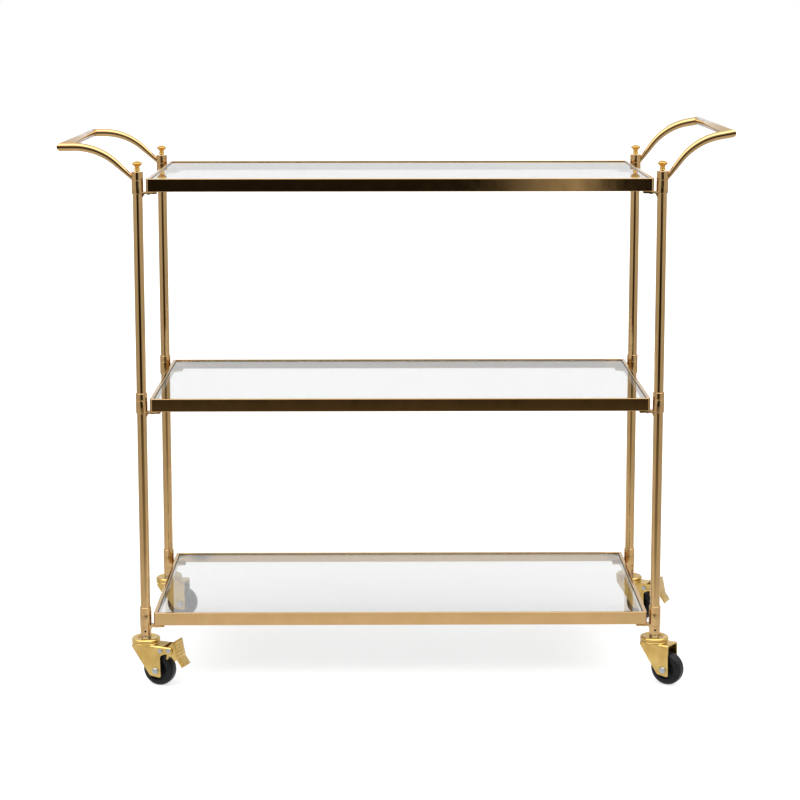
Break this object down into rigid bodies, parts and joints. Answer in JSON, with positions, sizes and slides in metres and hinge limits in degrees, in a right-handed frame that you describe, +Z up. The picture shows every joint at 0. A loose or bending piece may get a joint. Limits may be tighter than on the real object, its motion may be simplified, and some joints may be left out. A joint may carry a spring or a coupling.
{
  "type": "bar cart",
  "caption": "Rolling bar cart with a brass tube frame, framed clear glass shelves, curved push handles at both ends and swivel casters, some with foot brakes.",
  "frame": {"origin": "on the floor under the middle of the whole cart", "axes": "+X along the length towards the more steeply pitched handle, +Y towards the rear, +Z up"},
  "size_m": [0.9502, 0.3864, 0.8013],
  "materials": {
    "frame_brass": "polished antique brass",
    "finial_brass": "polished yellow brass",
    "caster_brass": "satin yellow brass plate",
    "fittings_steel": "bright zinc plate",
    "wheel_plastic": "glossy black moulding",
    "shelf_glass": "clear polished glass",
    "clear_pads": "clear soft pads"
  },
  "bodies": {
    "cart": {"upper_post_fl": "frame_brass", "lower_post_fl": "frame_brass", "upper_post_fr": "frame_brass", "lower_post_fr": "frame_brass", "upper_post_rl": "frame_brass", "lower_post_rl": "frame_brass", "upper_post_rr": "frame_brass", "lower_post_rr": "frame_brass", "top_front_rail": "frame_brass", "top_rear_rail": "frame_brass", "top_side_rails": "frame_brass", "top_brackets": "frame_brass", "top_glass": "shelf_glass", "middle_front_rail": "frame_brass", "middle_rear_rail": "frame_brass", "middle_side_rails": "frame_brass", "middle_brackets": "frame_brass", "middle_glass": "shelf_glass", "bottom_front_rail": "frame_brass", "bottom_rear_rail": "frame_brass", "bottom_side_rails": "frame_brass", "bottom_brackets": "frame_brass", "bottom_glass": "shelf_glass", "glass_ledges": "frame_brass", "glass_pads": "clear_pads", "bracket_screws": "fittings_steel", "middle_ferrules": "frame_brass", "bottom_ferrules": "frame_brass", "middle_spigots": "fittings_steel", "top_plugs": "fittings_steel", "finials": "finial_brass", "left_handle_bar": "frame_brass", "left_handle_arms": "frame_brass", "left_handle_rings": "frame_brass", "right_handle_bar": "frame_brass", "right_handle_arms": "frame_brass", "right_handle_rings": "frame_brass", "caster_sockets": "frame_brass", "set_screws": "fittings_steel", "caster_stems": "fittings_steel", "stem_nuts": "fittings_steel", "caster_caps": "caster_brass", "swivel_balls": "fittings_steel"},
    "caster_fl": {"fork_fl": "caster_brass", "axle_bolt_fl": "fittings_steel", "brake_rivets_fl": "fittings_steel"},
    "roller_fl": {"wheel_fl": "wheel_plastic"},
    "caster_fr": {"fork_fr": "caster_brass", "axle_bolt_fr": "fittings_steel"},
    "roller_fr": {"wheel_fr": "wheel_plastic"},
    "caster_rl": {"fork_rl": "caster_brass", "axle_bolt_rl": "fittings_steel"},
    "roller_rl": {"wheel_rl": "wheel_plastic"},
    "caster_rr": {"fork_rr": "caster_brass", "axle_bolt_rr": "fittings_steel", "brake_rivets_rr": "fittings_steel"},
    "roller_rr": {"wheel_rr": "wheel_plastic"},
    "brake_fl": {"brake_lever_fl": "caster_brass"},
    "brake_rr": {"brake_lever_rr": "caster_brass"}
  },
  "joints": [
    {"name": "swivel_fl", "type": "hinge", "parent": "cart", "child": "caster_fl", "pos_m": [-0.3637, -0.1576, 0.06], "axis": [0, 0, 1], "continuous": true},
    {"name": "swivel_fr", "type": "hinge", "parent": "cart", "child": "caster_fr", "pos_m": [0.3733, -0.1576, 0.06], "axis": [0, 0, 1], "continuous": true},
    {"name": "swivel_rl", "type": "hinge", "parent": "cart", "child": "caster_rl", "pos_m": [-0.3637, 0.1724, 0.06], "axis": [0, 0, 1], "continuous": true},
    {"name": "swivel_rr", "type": "hinge", "parent": "cart", "child": "caster_rr", "pos_m": [0.3733, 0.1724, 0.06], "axis": [0, 0, 1], "continuous": true},
    {"name": "roll_fl", "type": "hinge", "parent": "caster_fl", "child": "roller_fl", "pos_m": [-0.3433, -0.16584, 0.024], "axis": [0.3746, 0.9272, 0], "continuous": true},
    {"name": "roll_fr", "type": "hinge", "parent": "caster_fr", "child": "roller_fr", "pos_m": [0.39132, -0.17022, 0.024], "axis": [0.5736, 0.8192, 0], "continuous": true},
    {"name": "roll_rl", "type": "hinge", "parent": "caster_rl", "child": "roller_rl", "pos_m": [-0.34218, 0.16783, 0.024], "axis": [0.2079, 0.9781, 0], "continuous": true},
    {"name": "roll_rr", "type": "hinge", "parent": "caster_rr", "child": "roller_rr", "pos_m": [0.39324, 0.1631, 0.024], "axis": [0.4226, 0.9063, 0], "continuous": true},
    {"name": "pedal_fl", "type": "hinge", "parent": "caster_fl", "child": "brake_fl", "pos_m": [-0.3229, -0.17408, 0.0565], "axis": [0.3746, 0.9272, 0], "range_deg": [0, 17]},
    {"name": "pedal_rr", "type": "hinge", "parent": "caster_rr", "child": "brake_rr", "pos_m": [0.41318, 0.1538, 0.0565], "axis": [0.4226, 0.9063, 0], "range_deg": [0, 17]}
  ]
}
